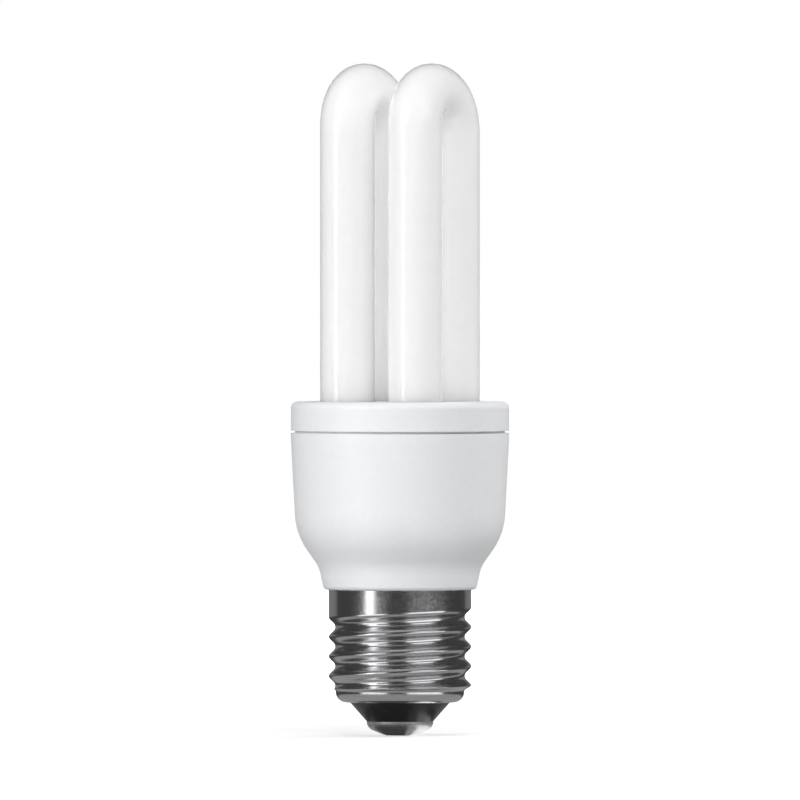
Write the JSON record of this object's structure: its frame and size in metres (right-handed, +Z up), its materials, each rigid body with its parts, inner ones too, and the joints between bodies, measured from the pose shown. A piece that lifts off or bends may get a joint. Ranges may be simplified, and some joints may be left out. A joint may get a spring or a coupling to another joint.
{
  "type": "compact fluorescent lamp",
  "caption": "Compact fluorescent lamp with upright U shaped glass tubes on a moulded white ballast housing and a threaded metal screw base.",
  "frame": {"origin": "tip of the centre contact, on the lamp's axis", "axes": "+Z up along the axis from the screw base to the tubes; the legs of each U lie along Y and the Us stand side by side along X, with the picture's camera between -Y and +X"},
  "size_m": [0.0404, 0.0404, 0.1243],
  "materials": {
    "coated_glass": "gloss",
    "white_plastic": "satin",
    "plated_shell": "polished",
    "black_glass": "gloss",
    "contact_metal": "satin",
    "cement": "matt",
    "board": "matt",
    "can_sleeve": "gloss",
    "ferrite": "matt",
    "bobbin": "matt",
    "enamel_wire": "gloss",
    "moulded_case": "matt",
    "film_coat": "gloss",
    "resistor_coat": "satin",
    "diode_glass": "gloss",
    "tinned_metal": "satin",
    "solder": "satin",
    "wire_sleeve": "satin"
  },
  "bodies": {
    "root": {"ballast_housing": "white_plastic", "base_insulator": "black_glass", "base_resistor_1": "resistor_coat", "base_resistor_2": "resistor_coat", "centre_contact": "contact_metal", "choke_bobbin": "bobbin", "choke_core": "ferrite", "choke_winding": "enamel_wire", "circuit_board": "board", "contact_wire": "wire_sleeve", "coupling_capacitor": "film_coat", "discharge_tube": "coated_glass", "drive_core": "ferrite", "drive_winding": "enamel_wire", "filament_lead_left_front": "tinned_metal", "filament_lead_left_rear": "tinned_metal", "filament_lead_right_front": "tinned_metal", "filament_lead_right_rear": "tinned_metal", "filter_choke": "ferrite", "filter_winding": "enamel_wire", "fuse_resistor": "resistor_coat", "rectifier_diode_1": "moulded_case", "rectifier_diode_2": "moulded_case", "rectifier_diode_3": "moulded_case", "rectifier_diode_4": "moulded_case", "resonant_capacitor": "film_coat", "screw_shell": "plated_shell", "shell_wire": "wire_sleeve", "smoothing_capacitor": "can_sleeve", "solder_joints": "solder", "transistor_1": "moulded_case", "transistor_2": "moulded_case", "trigger_diode": "diode_glass", "tube_cement": "cement", "tube_cover": "white_plastic", "wrap_pins": "tinned_metal"}
  },
  "joints": []
}
